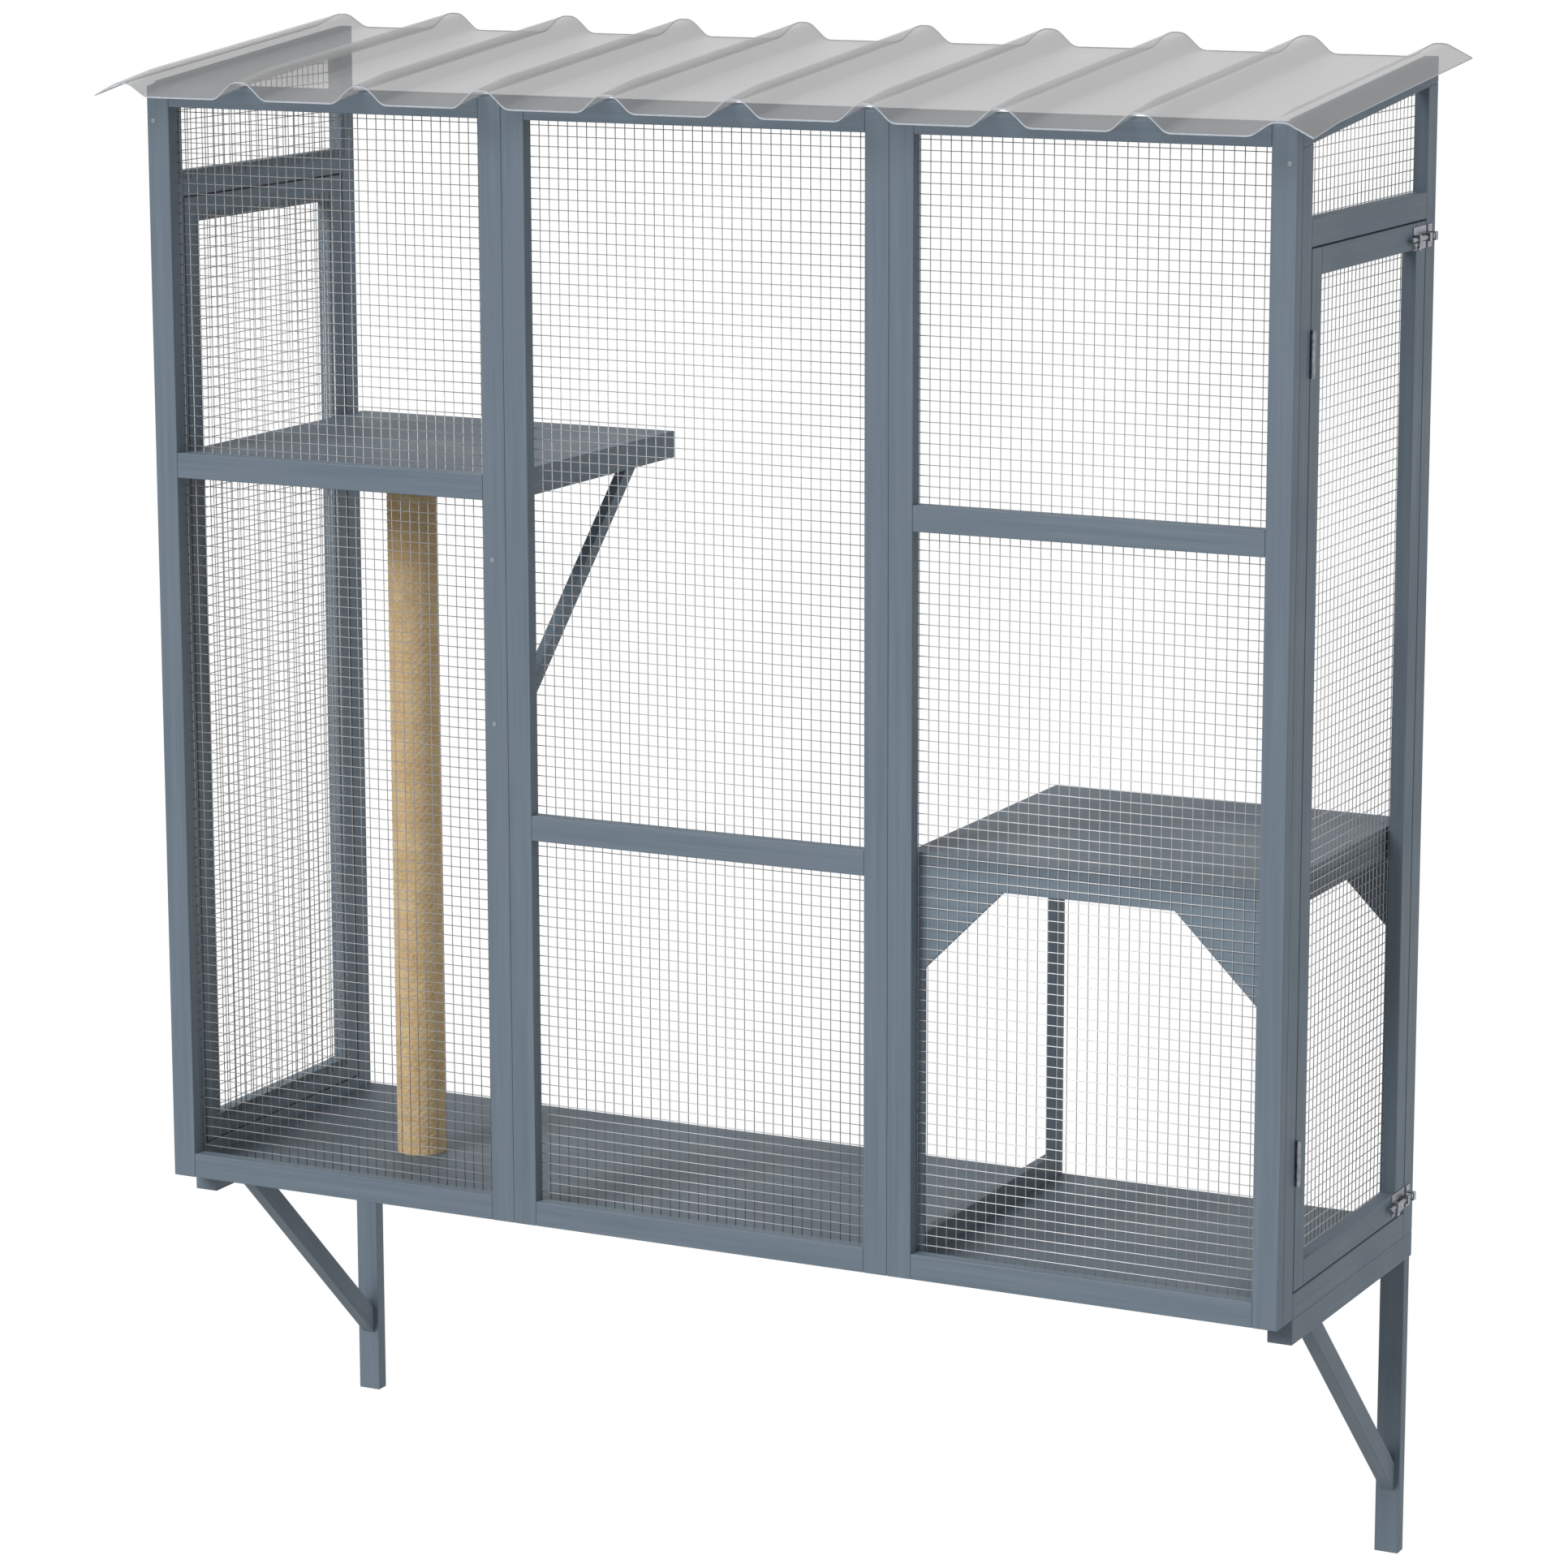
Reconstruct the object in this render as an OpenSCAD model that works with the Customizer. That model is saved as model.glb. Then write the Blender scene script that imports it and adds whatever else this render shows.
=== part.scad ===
// Window box catio: a mesh-sided outdoor enclosure that hangs on a house wall.
// X runs to the right as seen from in front, Y towards the house wall, Z up.
// The origin is on the house wall plane, midway across, at the underside of the frame.
// Sizes are in millimetres.

/* [Overall] */
// width over the outer faces of the two side walls
overall_w = 1500; // [1250:10:1850]
// depth from the house wall to the front face
overall_d = 455; // [370:5:560]
// height of the front wall at its front face
front_h = 1378; // [1142:4:1682]
// slope of the roof sheet behind the front wall in degrees
roof_slope = 5.8; // [3:0.1:9]
// slope of the roof sheet's lip, from the front wall's rear face forward, in degrees
lip_slope = 9.2; // [6:0.1:13]

/* [Frame sticks] */
// width of the frame sticks
stick_w = 31; // [25:0.5:38]
// thickness of the frame sticks
stick_t = 18; // [15:0.5:22]

/* [Front wall] */
// width of the middle panel
mid_panel_w = 508; // [420:4:620]
// height of the top rails of the front panels
top_rail_h = 25; // [18:0.5:31]
// underside of the mid rail in the left and right panels
outer_rail_z = 897; // [740:1:950]
// underside of the mid rail in the middle panel
low_rail_z = 484.5; // [400:0.5:590]
// drop of the two top screws below the top of the front wall
top_screw_drop = 42.5; // [35:0.5:60]
// drop of the shelf screw below the outer mid rails
shelf_screw_drop = 72; // [30:1:120]
// drop of the brace screw below the outer mid rails
brace_screw_drop = 273; // [180:1:330]
// distance of the shelf's and the brace's screws from the middle panel
shelf_screw_in = 18.5; // [8:0.5:24]
// radius of a screw head
screw_head_r = 3; // [2:0.1:4]
// height of a screw head
screw_head_t = 0.8; // [0.5:0.1:1.5]

/* [Side walls] */
// drop of the underside of the cross rails below the top of the front wall
cross_drop = 138; // [114:1:167]
// rise of the side wall top over the front wall, at the front face
side_lift_front = 3.2; // [0:0.1:5]
// rise of the side wall top over the sheet's valleys, at the house wall
side_lift_rear = 2.4; // [0:0.1:5]

/* [Wire mesh] */
// thickness of a mesh sheet
net_t = 2; // [1.4:0.1:2.4]
// width of a wire in the mesh sheets
net_wire = 1.05; // [0.8:0.05:2]
// lap of a mesh sheet over the sticks
net_lap = 10; // [6:0.5:14]
// spacing of the wires that are drawn, one in every seven
net_pitch = 88.9; // [80:0.1:110]

/* [Doors] */
// gap between a door and the stiles on either side
door_side_gap = 2; // [1.8:0.1:3]
// gap between a door and the rails above and below
door_end_gap = 2; // [1.5:0.1:4]

/* [Hinges] */
// length of a hinge
hinge_l = 52; // [42:1:64]
// drop of the upper hinge's middle below the top of the door
hinge_drop = 117; // [60:1:160]
// rise of the lower hinge's middle over the bottom of the door
hinge_rise = 155; // [80:1:200]
// thickness of a hinge leaf
leaf_t = 0.8; // [0.6:0.05:0.85]
// length of the knuckle at either end of a hinge
end_knuckle = 17; // [12:0.5:20]
// reach of a leaf into the gap, from the outer face
leaf_reach = 15; // [10:0.5:17]
// radius of a hinge knuckle
knuckle_r = 3; // [2.6:0.1:4]
// radius of a hinge pin
pin_r = 1.5; // [1.2:0.1:1.7]
// gap between neighbouring knuckles
knuckle_gap = 0.2; // [0.1:0.05:0.4]
// height of a pin's head
pin_head_t = 1.2; // [0.8:0.1:2]
// width of the knuckle's end left around a pin's head
pin_head_margin = 0.4; // [0.2:0.1:0.8]

/* [Bolts] */
// distance of a bolt's middle line from the end of the door
bolt_inset = 18; // [16:0.5:26]
// length of a bolt case along the bolt
case_l = 42; // [38:1:50]
// distance from the case to the edge of the door
case_edge = 2; // [1.5:0.5:5]
// height of the base plates
plate_h = 27; // [24:0.5:32]
// thickness of the base plates
plate_t = 1.2; // [0.8:0.1:1.5]
// width of each guide along the bolt
guide_l = 7; // [5:0.5:8]
// height of a guide
guide_h = 10; // [9:0.5:12]
// wall of a guide over the rod, and of a keep's loop
guide_wall = 1.4; // [1:0.1:2]
// radius of a bolt rod
rod_r = 2.8; // [2.4:0.1:3.2]
// distance of the rod's axis from the outer face
rod_out = 5; // [4.8:0.1:5.5]
// distance from the rod's tip to the edge of the door when drawn back
tip_back = 1; // [0.5:0.1:1.5]
// travel of a rod from drawn back to shot
bolt_travel = 22; // [18:0.5:23]
// length of the rod that stays in its rear guide when shot
tail_in = 4; // [2:0.5:6]
// gap between the knob's stem and the rear guide when drawn back
stem_gap = 0.2; // [0.1:0.1:0.5]
// radius of the stem that carries the knob
stem_r = 1.8; // [1.4:0.1:2.2]
// drop of the knob's ball below the rod's axis
knob_drop = 11; // [9:0.5:13]
// radius of the knob's ball
knob_r = 3; // [2.4:0.1:3.4]
// margin of the rear stile in front of a keep's base plate
keep_edge = 3; // [2:0.5:4]
// length of a keep's base plate along the bolt
keep_l = 14; // [12:0.5:20]
// margin of a keep's base plate on either side of its loop
loop_edge = 3; // [1:0.5:3]
// clearance around a rod in its keep's loop
loop_clear = 0.8; // [0.4:0.1:1.2]

/* [Fits] */
// radial clearance where one part turns or slides in another
run_clear = 0.05; // [0.02:0.01:0.1]
// gap under the roof sheet where it rests
seat_gap = 0.2; // [0.1:0.1:0.5]

/* [Roof] */
// overhang of the sheet in front of the front wall
roof_front = 61; // [40:1:90]
// number of crests across the sheet
crest_count = 10; // [8:1:12]
// distance of the outer crests inside the outer faces of the side walls
crest_in = 2.1; // [0:0.1:6]
// shift of the sheet to the right
roof_shift = 3; // [-5:0.5:5]
// half width of a crest where it meets the valley
crest_half = 33; // [30:0.5:38]
// reach of the two outer crests from their middle to the sheet's side edges
edge_reach = 40; // [34:0.5:46]
// half width of a crest at its shoulder
crest_top_half = 13; // [11:0.5:16]
// height of a crest over the valley
crest_h = 21; // [17:0.5:25]
// height of the two outer crests, which are flatter
edge_crest_h = 16; // [14:0.5:21]
// drop of a crest's shoulder below its top
shoulder_drop = 2.5; // [1:0.1:5]
// drop of the crest halfway to its shoulder
crown_drop = 0.6; // [0.2:0.1:1]
// thickness of the sheet
sheet_t = 1.5; // [1:0.1:2.5]

/* [Floor] */
// thickness of the floor board
floor_t = 15; // [12:0.5:19]

/* [Shelf] */
// thickness of the shelf board
shelf_t = 15; // [12:0.5:19]
// gap between the shelf and the left door's mesh
shelf_side_gap = 7; // [4:0.5:12]
// gap between the shelf and the front mesh
shelf_front_gap = 1; // [0.5:0.5:4]
// gap between the shelf and the house wall plane
shelf_rear_gap = 6; // [2:0.5:15]
// distance of the shelf's edge board from the middle panel
edge_in = 6.5; // [3:0.5:10]
// drop of the edge board's underside below the battens
edge_drop = 3; // [0:0.5:8]
// gap between the shelf brace and the left panel's mesh
brace_net_gap = 0.5; // [0.3:0.1:2]
// reach of the brace behind the front wall
brace_reach = 326; // [250:1:330]
// angle of the brace above the horizontal in degrees
brace_angle = 43.3; // [38:0.1:50]

/* [Scratching post] */
// radius of the wrapped post
post_r = 31.5; // [22:0.5:40]
// distance of the post's axis from the outer face of the left wall
post_in = 251; // [200:1:300]
// distance of the post's axis from the house wall plane
post_back = 261; // [180:1:285]

/* [House] */
// distance of the house's left side from the middle panel
house_in = 18; // [10:0.5:26]
// thickness of the platform board
platform_t = 15; // [12:0.5:19]
// thickness of the two arch boards
arch_t = 8; // [6:0.5:12]
// gap between the house and the right door's mesh
house_side_gap = 2; // [1:0.5:5]
// thickness of the legs and side rails, and width beside the rear arch
side_t = 12; // [8:0.5:16]
// depth of the legs
leg_d = 18; // [12:0.5:24]
// height of the base rails
base_rail_h = 31; // [24:0.5:38]
// width left beside the front arch on its left
arch_left = 19.5; // [16:0.5:36]
// width left beside the front arch on its right
arch_right = 18; // [16:0.5:36]
// height of the arch boards over their arches, and of the upper side rails
arch_head = 23.5; // [18:0.5:32]
// width and height of the arches' cut corners
arch_corner = 102; // [60:1:125]

/* [Brackets] */
// distance of the bracket arms' ends behind the front face
arm_short = 49; // [10:1:90]
// length of the bracket legs below the arms
leg_l = 380; // [250:1:460]
// inset of the bracket legs from the outer faces of the arms
leg_inset = 2.5; // [0:0.5:6]
// angle of the diagonal braces above the horizontal in degrees
diagonal_angle = 44.1; // [40:0.1:50]
// length of the shorter of arm and leg left beyond the diagonal brace
diagonal_end = 76.5; // [20:0.5:120]
// width of the diagonal braces
diagonal_w = 26; // [20:0.5:30]

/* [Hidden] */
round_fn = 96;
past = 1;
half_w = overall_w / 2;
in_x = half_w - stick_t;
net_x = in_x - net_t;
front_y = -overall_d;
back_y = front_y + stick_t;
net_y = back_y + net_t;
mid_x = mid_panel_w / 2;
rise = tan(roof_slope);
lip_rise = tan(lip_slope);
bend_z = front_h + stick_t * lip_rise;
half_bend = (lip_slope - roof_slope) / 2;
side_front_z = front_h + side_lift_front;
side_rear_z = bend_z - back_y * rise + side_lift_rear;
side_rise = (side_rear_z - side_front_z) / overall_d;
side_rail_v = stick_w / cos(atan(side_rise));
top_rail_z = front_h - top_rail_h;
cross_z = front_h - cross_drop;
transom_z = cross_z + stick_w;
front_stile_y = back_y + stick_w;
rear_stile_y = -stick_w;
door_y0 = front_stile_y + door_side_gap;
door_y1 = rear_stile_y - door_side_gap;
door_z0 = stick_w + door_end_gap;
door_z1 = cross_z - door_end_gap;
pin_x = half_w + knuckle_r;
pin_y = front_stile_y + door_side_gap / 2;
bore_r = pin_r + run_clear;
hinge_zs = [door_z0 + hinge_rise, door_z1 - hinge_drop];
bolt_zs = [door_z0 + bolt_inset, door_z1 - bolt_inset];
rod_x = half_w + rod_out;
case_y1 = door_y1 - case_edge;
case_y0 = case_y1 - case_l;
rod_y1 = door_y1 - tip_back;
rod_l = rod_y1 - case_y0 + bolt_travel - tail_in;
knob_y = case_y0 + guide_l + stem_gap + stem_r;
guide_x = rod_out + rod_r + guide_wall;
keep_y0 = rear_stile_y + keep_edge;
keep_y1 = keep_y0 + keep_l;
loop_y0 = keep_y0 + loop_edge;
loop_y1 = keep_y1 - loop_edge;
loop_half = rod_r + loop_clear;
shelf_z = outer_rail_z + stick_w - shelf_t;
shelf_x0 = -(net_x - shelf_side_gap);
shelf_x1 = -mid_x - edge_in;
shelf_y0 = net_y + shelf_front_gap;
shelf_y1 = -shelf_rear_gap;
edge_x0 = shelf_x1 - stick_t;
brace_x0 = -mid_x - stick_w + net_lap + brace_net_gap;
edge_z = outer_rail_z - edge_drop;
platform_z = low_rail_z + stick_w - platform_t;
house_x0 = mid_x + house_in;
house_x1 = net_x - house_side_gap;
leg_front_y = net_y + arch_t;
leg_rear_y = -arch_t - leg_d;
arm_l = overall_d - arm_short;
diagonal_rise = tan(diagonal_angle);
diagonal_far = min(leg_l, (arm_l - stick_t) * diagonal_rise) - diagonal_end;
diagonal_near = diagonal_far - diagonal_w / cos(diagonal_angle);
crest_pitch = (overall_w - 2 * crest_in) / (crest_count - 1);
crest_x0 = -half_w + crest_in;

// A box between two corners.
module block(a, b) {
    translate(a)
        cube(b - a);
}

// A box on side s (1 right, -1 left); a and b give the distances from the middle plane.
module side_block(s, a, b) {
    translate([s > 0 ? a.x : -b.x, a.y, a.z])
        cube(b - a);
}

// An outline in Y and Z, drawn out along X from x0 to x1.
module slab_x(x0, x1, points) {
    translate([x0, 0, 0])
        rotate([90, 0, 90])
            linear_extrude(x1 - x0)
                polygon(points);
}

// An outline in X and Z, drawn out along Y from y0 to y1.
module slab_y(y0, y1, points) {
    translate([0, y1, 0])
        rotate([90, 0, 0])
            linear_extrude(y1 - y0)
                polygon(points);
}

// Height of the side wall's top edge at y.
function side_top(y) = side_front_z + (y - front_y) * side_rise;

// Gaps that a mesh sheet of this span has, at about the drawn spacing.
function cells(span) = max(1, round(span / net_pitch));

// A stick of the front wall that reaches up to the roof, its top cut to the lip's slope.
module tall_front_stick(x0, x1, z0) {
    slab_x(x0, x1, [
        [front_y, z0],
        [back_y, z0],
        [back_y, bend_z],
        [front_y, front_h]
    ]);
}

// The two stiles of a front panel between x0 and x1.
module panel_stiles(x0, x1) {
    color("SlateGray") {
        tall_front_stick(x0, x0 + stick_w, 0);
        tall_front_stick(x1 - stick_w, x1, 0);
    }
}

// The top rail of a front panel.
module panel_top_rail(x0, x1) {
    color("SlateGray")
        tall_front_stick(x0 + stick_w, x1 - stick_w, top_rail_z);
}

// A level rail of a front panel with its underside at z.
module panel_rail(x0, x1, z) {
    color("SlateGray")
        block([x0 + stick_w, front_y, z], [x1 - stick_w, back_y, z + stick_w]);
}

// A flat mesh sheet in local X and Y, with evenly spaced gaps.
module net(w, h) {
    nx = cells(w);
    ny = cells(h);
    dx = (w - net_wire) / nx;
    dy = (h - net_wire) / ny;
    difference() {
        cube([w, h, net_t]);
        for (i = [0:nx - 1])
            for (j = [0:ny - 1])
                translate([net_wire + i * dx, net_wire + j * dy, -past])
                    cube([dx - net_wire, dy - net_wire, net_t + 2 * past]);
    }
}

// The mesh sheet on the back of a front panel.
module panel_net(x0, x1) {
    w = x1 - x0 - 2 * stick_w + 2 * net_lap;
    h = top_rail_z - stick_w + 2 * net_lap;
    color("Silver")
        translate([x0 + stick_w - net_lap, net_y, stick_w - net_lap])
            rotate([90, 0, 0])
                net(w, h);
}

module left_panel_stiles() {
    panel_stiles(-half_w, -mid_x);
}

module left_panel_top_rail() {
    panel_top_rail(-half_w, -mid_x);
}

module left_panel_mid_rail() {
    panel_rail(-half_w, -mid_x, outer_rail_z);
}

module left_panel_bottom_rail() {
    panel_rail(-half_w, -mid_x, 0);
}

module left_panel_net() {
    panel_net(-half_w, -mid_x);
}

module middle_panel_stiles() {
    panel_stiles(-mid_x, mid_x);
}

module middle_panel_top_rail() {
    panel_top_rail(-mid_x, mid_x);
}

module middle_panel_mid_rail() {
    panel_rail(-mid_x, mid_x, low_rail_z);
}

module middle_panel_bottom_rail() {
    panel_rail(-mid_x, mid_x, 0);
}

module middle_panel_net() {
    panel_net(-mid_x, mid_x);
}

module right_panel_stiles() {
    panel_stiles(mid_x, half_w);
}

module right_panel_top_rail() {
    panel_top_rail(mid_x, half_w);
}

module right_panel_mid_rail() {
    panel_rail(mid_x, half_w, outer_rail_z);
}

module right_panel_bottom_rail() {
    panel_rail(mid_x, half_w, 0);
}

module right_panel_net() {
    panel_net(mid_x, half_w);
}

// A screw head on the front face.
module screw_head(x, z) {
    translate([x, front_y, z])
        rotate([90, 0, 0])
            cylinder(h = screw_head_t, r = screw_head_r, $fn = round_fn);
}

module front_screws() {
    color("DimGray") {
        screw_head(-half_w + stick_t / 2, front_h - top_screw_drop);
        screw_head(half_w - stick_t / 2, front_h - top_screw_drop);
        screw_head(-mid_x - shelf_screw_in, outer_rail_z - shelf_screw_drop);
        screw_head(-mid_x - shelf_screw_in, outer_rail_z - brace_screw_drop);
    }
}

// An outline between the two side faces of the side wall on side s.
module wall_slab(s, points) {
    slab_x(s > 0 ? in_x : -half_w, s > 0 ? half_w : -in_x, points);
}

// An upright stick of a side wall from y0 to y1, cut off under the sloped top rail.
module wall_stile(s, y0, y1) {
    intersection() {
        side_block(s, [in_x, y0, 0], [half_w, y1, side_rear_z]);
        wall_slab(s, [
            [back_y, 0],
            [0, 0],
            [0, side_top(0) - side_rail_v],
            [back_y, side_top(back_y) - side_rail_v]
        ]);
    }
}

module wall_stiles(s) {
    color("LightSlateGray") {
        wall_stile(s, back_y, front_stile_y);
        wall_stile(s, rear_stile_y, 0);
    }
}

// The sloped rail on top of a side wall.
module wall_top_rail(s) {
    color("LightSlateGray")
        wall_slab(s, [
            [back_y, side_top(back_y) - side_rail_v],
            [0, side_top(0) - side_rail_v],
            [0, side_top(0)],
            [back_y, side_top(back_y)]
        ]);
}

// A level rail of a side wall with its underside at z.
module wall_rail(s, z) {
    color("LightSlateGray")
        side_block(s, [in_x, front_stile_y, z], [half_w, rear_stile_y, z + stick_w]);
}

// The mesh sheet over the door: one row of gaps under a sloped edge.
module transom_net(s) {
    y0 = front_stile_y - net_lap;
    y1 = rear_stile_y + net_lap;
    z0 = transom_z - net_lap;
    drop = side_rail_v - net_lap;
    n = cells(y1 - y0);
    dy = (y1 - y0 - net_wire) / n;
    x0 = s > 0 ? net_x : -in_x;
    color("Silver")
        difference() {
            slab_x(x0, x0 + net_t, [
                [y0, z0],
                [y1, z0],
                [y1, side_top(y1) - drop],
                [y0, side_top(y0) - drop]
            ]);
            for (i = [0:n - 1]) {
                a = y0 + net_wire + i * dy;
                b = a + dy - net_wire;
                slab_x(x0 - past, x0 + net_t + past, [
                    [a, z0 + net_wire],
                    [b, z0 + net_wire],
                    [b, side_top(b) - drop - net_wire],
                    [a, side_top(a) - drop - net_wire]
                ]);
            }
        }
}

module left_wall_stiles() {
    wall_stiles(-1);
}

module left_wall_top_rail() {
    wall_top_rail(-1);
}

module left_wall_cross_rail() {
    wall_rail(-1, cross_z);
}

module left_wall_bottom_rail() {
    wall_rail(-1, 0);
}

module left_transom_net() {
    transom_net(-1);
}

module right_wall_stiles() {
    wall_stiles(1);
}

module right_wall_top_rail() {
    wall_top_rail(1);
}

module right_wall_cross_rail() {
    wall_rail(1, cross_z);
}

module right_wall_bottom_rail() {
    wall_rail(1, 0);
}

module right_transom_net() {
    transom_net(1);
}

module door_stiles(s) {
    color("CadetBlue") {
        side_block(s, [in_x, door_y0, door_z0], [half_w, door_y0 + stick_w, door_z1]);
        side_block(s, [in_x, door_y1 - stick_w, door_z0], [half_w, door_y1, door_z1]);
    }
}

module door_rails(s) {
    y0 = door_y0 + stick_w;
    y1 = door_y1 - stick_w;
    color("CadetBlue") {
        side_block(s, [in_x, y0, door_z0], [half_w, y1, door_z0 + stick_w]);
        side_block(s, [in_x, y0, door_z1 - stick_w], [half_w, y1, door_z1]);
    }
}

// The mesh sheet on the inner face of a door.
module door_net(s) {
    y0 = door_y0 + stick_w - net_lap;
    y1 = door_y1 - stick_w + net_lap;
    z0 = door_z0 + stick_w - net_lap;
    z1 = door_z1 - stick_w + net_lap;
    color("Silver")
        translate([s > 0 ? net_x : -in_x, y0, z0])
            rotate([90, 0, 90])
                net(y1 - y0, z1 - z0);
}

module left_door_stiles() {
    door_stiles(-1);
}

module left_door_rails() {
    door_rails(-1);
}

module left_door_net() {
    door_net(-1);
}

module right_door_stiles() {
    door_stiles(1);
}

module right_door_rails() {
    door_rails(1);
}

module right_door_net() {
    door_net(1);
}

// Half a hinge in the right wall's gap: a leaf from y0 and the knuckles in the list of [z0, z1].
module hinge_half(y0, zc, knuckles) {
    zs = zc - hinge_l / 2;
    difference() {
        union() {
            block([half_w - leaf_reach, y0, zs], [half_w - knuckle_gap, y0 + leaf_t, zs + hinge_l]);
            for (k = knuckles) {
                block([half_w - past, y0, zs + k[0]], [pin_x, y0 + leaf_t, zs + k[1]]);
                translate([pin_x, pin_y, zs + k[0]])
                    cylinder(h = k[1] - k[0], r = knuckle_r, $fn = round_fn);
            }
        }
        translate([pin_x, pin_y, zs - past])
            cylinder(h = hinge_l + 2 * past, r = bore_r, $fn = round_fn);
    }
}

// Both hinge halves on the wall stile of side s: an upper and a lower knuckle each.
module frame_leaves(s) {
    color("Gainsboro")
        mirror([s > 0 ? 0 : 1, 0, 0])
            for (zc = hinge_zs)
                hinge_half(front_stile_y, zc,
                    [[0, end_knuckle], [hinge_l - end_knuckle, hinge_l]]);
}

// Both hinge halves on the door of side s: one middle knuckle each.
module door_leaves(s) {
    color("Gainsboro")
        mirror([s > 0 ? 0 : 1, 0, 0])
            for (zc = hinge_zs)
                hinge_half(door_y0 - leaf_t, zc,
                    [[end_knuckle + knuckle_gap, hinge_l - end_knuckle - knuckle_gap]]);
}

module left_frame_leaves() {
    frame_leaves(-1);
}

module left_door_leaves() {
    door_leaves(-1);
}

module right_frame_leaves() {
    frame_leaves(1);
}

module right_door_leaves() {
    door_leaves(1);
}

// A pin with a low head at either end for each of the four hinges.
module hinge_pins() {
    head_r = knuckle_r - pin_head_margin;
    color("Silver")
        for (s = [-1, 1])
            for (zc = hinge_zs)
                translate([s * pin_x, pin_y, zc - hinge_l / 2]) {
                    translate([0, 0, -pin_head_t])
                        cylinder(h = pin_head_t, r = head_r, $fn = round_fn);
                    translate([0, 0, -pin_head_t / 2])
                        cylinder(h = hinge_l + pin_head_t, r = pin_r, $fn = round_fn);
                    translate([0, 0, hinge_l])
                        cylinder(h = pin_head_t, r = head_r, $fn = round_fn);
                }
}

// A rod-shaped space along Y on the right side.
module along_bolt(y0, y1, z, r) {
    translate([rod_x, y0, z])
        rotate([-90, 0, 0])
            cylinder(h = y1 - y0, r = r, $fn = round_fn);
}

// A guide that stands on a base plate on the right side.
module guide(y0, y1, z) {
    block([half_w, y0, z - guide_h / 2], [half_w + guide_x, y1, z + guide_h / 2]);
}

// The two bolt cases of a door: a base plate with a guide at either end.
module bolt_cases(s) {
    color("Gainsboro")
        mirror([s > 0 ? 0 : 1, 0, 0])
            for (z = bolt_zs)
                difference() {
                    union() {
                        block([half_w, case_y0, z - plate_h / 2],
                            [half_w + plate_t, case_y1, z + plate_h / 2]);
                        guide(case_y0, case_y0 + guide_l, z);
                        guide(case_y1 - guide_l, case_y1, z);
                    }
                    along_bolt(case_y0 - past, case_y1 + past, z, rod_r + run_clear);
                }
}

// The four keeps on the rear stiles: a base plate with one square loop each.
module bolt_keeps() {
    color("Gainsboro")
        for (s = [-1, 1])
            mirror([s > 0 ? 0 : 1, 0, 0])
                for (z = bolt_zs)
                    difference() {
                        union() {
                            block([half_w, keep_y0, z - plate_h / 2],
                                [half_w + plate_t, keep_y1, z + plate_h / 2]);
                            block([half_w, loop_y0, z - loop_half - guide_wall],
                                [rod_x + loop_half + guide_wall, loop_y1,
                                z + loop_half + guide_wall]);
                        }
                        block([half_w + plate_t, loop_y0 - past, z - loop_half],
                            [rod_x + loop_half, loop_y1 + past, z + loop_half]);
                    }
}

// A sliding rod, drawn back, with a ball on a short stem that hangs from it.
module bolt(s, z) {
    color("Silver")
        mirror([s > 0 ? 0 : 1, 0, 0]) {
            along_bolt(rod_y1 - rod_l, rod_y1, z, rod_r);
            translate([rod_x, knob_y, z - knob_drop])
                cylinder(h = knob_drop, r = stem_r, $fn = round_fn);
            translate([rod_x, knob_y, z - knob_drop])
                sphere(r = knob_r, $fn = round_fn);
        }
}

module left_bolt_cases() {
    bolt_cases(-1);
}

module right_bolt_cases() {
    bolt_cases(1);
}

module left_lower_bolt() {
    bolt(-1, bolt_zs[0]);
}

module left_upper_bolt() {
    bolt(-1, bolt_zs[1]);
}

module right_lower_bolt() {
    bolt(1, bolt_zs[0]);
}

module right_upper_bolt() {
    bolt(1, bolt_zs[1]);
}

// One crest of the sheet's underside, h high, from the valley on its left to that on its right.
function crest_line(h, left, right) = [
    [-left, 0],
    [-crest_top_half, h - shoulder_drop],
    [-crest_top_half / 2, h - crown_drop],
    [0, h],
    [crest_top_half / 2, h - crown_drop],
    [crest_top_half, h - shoulder_drop],
    [right, 0]
];

// Crest number i, counted from the left.
function crest(i) = crest_line(
    i == 0 || i == crest_count - 1 ? edge_crest_h : crest_h,
    i == 0 ? edge_reach : crest_half,
    i == crest_count - 1 ? edge_reach : crest_half
);

// The sheet's underside all across.
function sheet_line() = [
    for (i = [0:crest_count - 1])
        for (p = crest(i))
            [crest_x0 + i * crest_pitch + p[0], p[1]]
];

// The sheet's part on side s of the bend (1 behind it, -1 before it), which meets the other part
// on an upright plane when both are tilted by half the bend.
module sheet_part(s) {
    line = sheet_line();
    over = [for (k = [len(line) - 1:-1:0]) line[k] + [0, sheet_t]];
    intersection() {
        rotate([-s * half_bend, 0, 0])
            slab_y(-1.2 * overall_d, 1.2 * overall_d, concat(line, over));
        block([-overall_w, s > 0 ? 0 : -2 * overall_d, -overall_d],
            [overall_w, s > 0 ? 2 * overall_d : 0, overall_d]);
    }
}

// The sheet, its lip bent down a little from the front wall's rear face forward, cut off
// upright at the house wall and at the front.
module roof_sheet() {
    color("LightGray")
        intersection() {
            translate([roof_shift, back_y, bend_z + seat_gap])
                rotate([(roof_slope + lip_slope) / 2, 0, 0]) {
                    sheet_part(-1);
                    sheet_part(1);
                }
            block([-overall_w, front_y - roof_front, 0], [overall_w, 0, 2 * front_h]);
        }
}

module floor_board() {
    color("LightSlateGray")
        block([-in_x, back_y, 0], [in_x, 0, floor_t]);
}

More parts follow.
